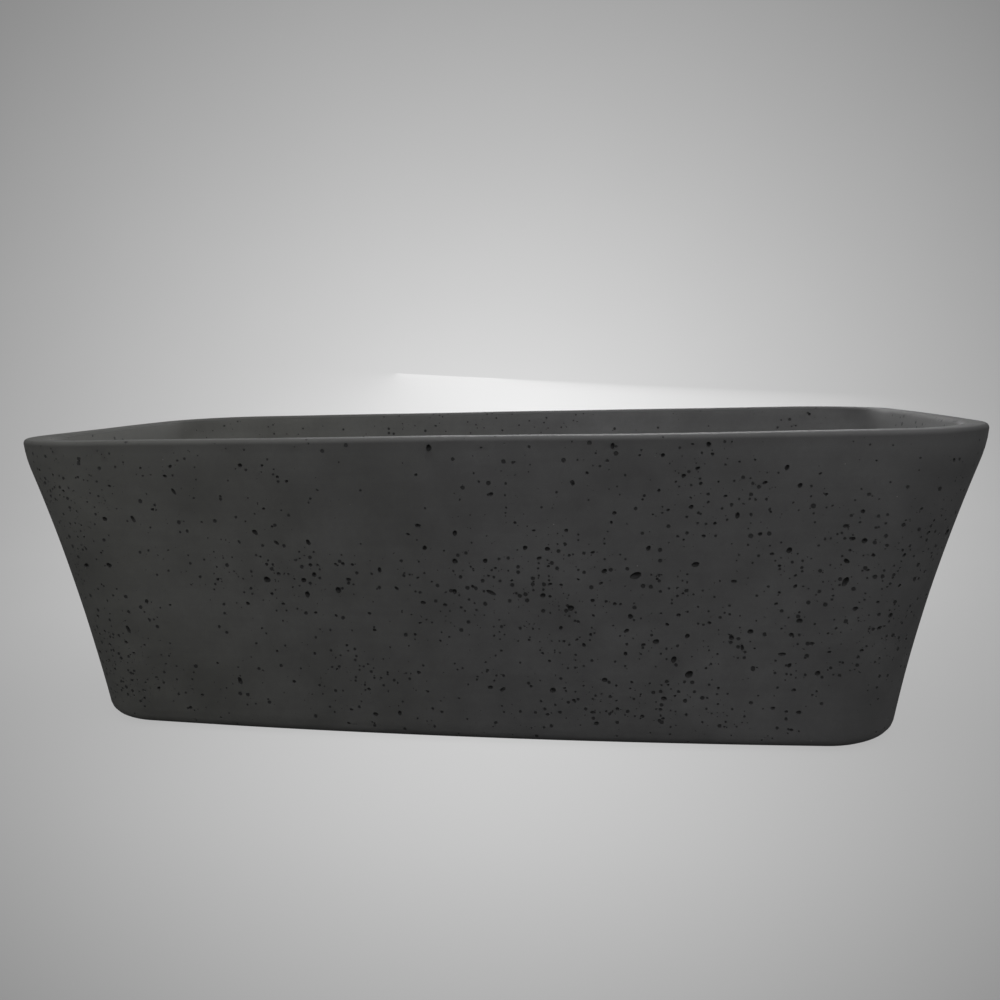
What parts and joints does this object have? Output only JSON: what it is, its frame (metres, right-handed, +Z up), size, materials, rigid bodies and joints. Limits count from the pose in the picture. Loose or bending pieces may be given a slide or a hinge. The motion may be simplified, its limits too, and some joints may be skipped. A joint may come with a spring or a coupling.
{
  "type": "freestanding bathtub",
  "caption": "Freestanding double-ended bathtub in thick dark cast concrete with flared ends and a flat rounded rim, on hidden levelling feet, with click-clack waste and low trap.",
  "frame": {"origin": "on the floor under the middle of the bath, which is also the waste's axis", "axes": "+X along the bath towards the end the waste pipe runs to, +Y across it, +Z up"},
  "size_m": [1.7988, 0.8498, 0.55],
  "materials": {
    "concrete": "matte, fair-faced dark charcoal concrete with open air pores",
    "zinc_steel": "zinc-plated",
    "brushed_metal": "brushed stainless",
    "spring_steel": "bare stainless wire",
    "brass": "bare turned brass",
    "black_rubber": "matte",
    "white_plastic": "moulded polypropylene",
    "black_plastic": "moulded nylon"
  },
  "bodies": {
    "bath": {"tub_shell": "concrete", "foot_socket_1": "brass", "foot_socket_2": "brass", "foot_socket_3": "brass", "foot_socket_4": "brass", "foot_locknut_1": "zinc_steel", "foot_locknut_2": "zinc_steel", "foot_locknut_3": "zinc_steel", "foot_locknut_4": "zinc_steel", "waste_flange": "brushed_metal", "flange_seal": "black_rubber", "under_gasket": "black_rubber", "slip_washer": "white_plastic", "back_nut": "black_plastic", "cartridge_body": "white_plastic", "cartridge_collar": "brass", "plug_spring": "spring_steel", "coupling_nut": "white_plastic", "coupling_washer": "black_rubber", "trap_body": "white_plastic", "trap_cap": "white_plastic", "trap_cap_seal": "black_rubber", "outlet_nut": "white_plastic", "outlet_washer": "black_rubber", "outlet_pipe": "white_plastic"},
    "plug": {"plug_cap": "brushed_metal", "plug_seal": "black_rubber", "plug_plunger": "brass"},
    "foot_1": {"foot_stud_1": "zinc_steel", "foot_pad_1": "black_rubber"},
    "foot_2": {"foot_stud_2": "zinc_steel", "foot_pad_2": "black_rubber"},
    "foot_3": {"foot_stud_3": "zinc_steel", "foot_pad_3": "black_rubber"},
    "foot_4": {"foot_stud_4": "zinc_steel", "foot_pad_4": "black_rubber"}
  },
  "joints": [
    {"name": "plug_lift", "type": "slide", "parent": "bath", "child": "plug", "axis": [0, 0, 1], "range_m": [0, 0.009], "deforming": ["plug_spring"]},
    {"name": "foot_1_height", "type": "slide", "parent": "bath", "child": "foot_1", "axis": [0, 0, 1], "range_m": [-0.01, 0]},
    {"name": "foot_2_height", "type": "slide", "parent": "bath", "child": "foot_2", "axis": [0, 0, 1], "range_m": [-0.01, 0]},
    {"name": "foot_3_height", "type": "slide", "parent": "bath", "child": "foot_3", "axis": [0, 0, 1], "range_m": [-0.01, 0]},
    {"name": "foot_4_height", "type": "slide", "parent": "bath", "child": "foot_4", "axis": [0, 0, 1], "range_m": [-0.01, 0]}
  ]
}
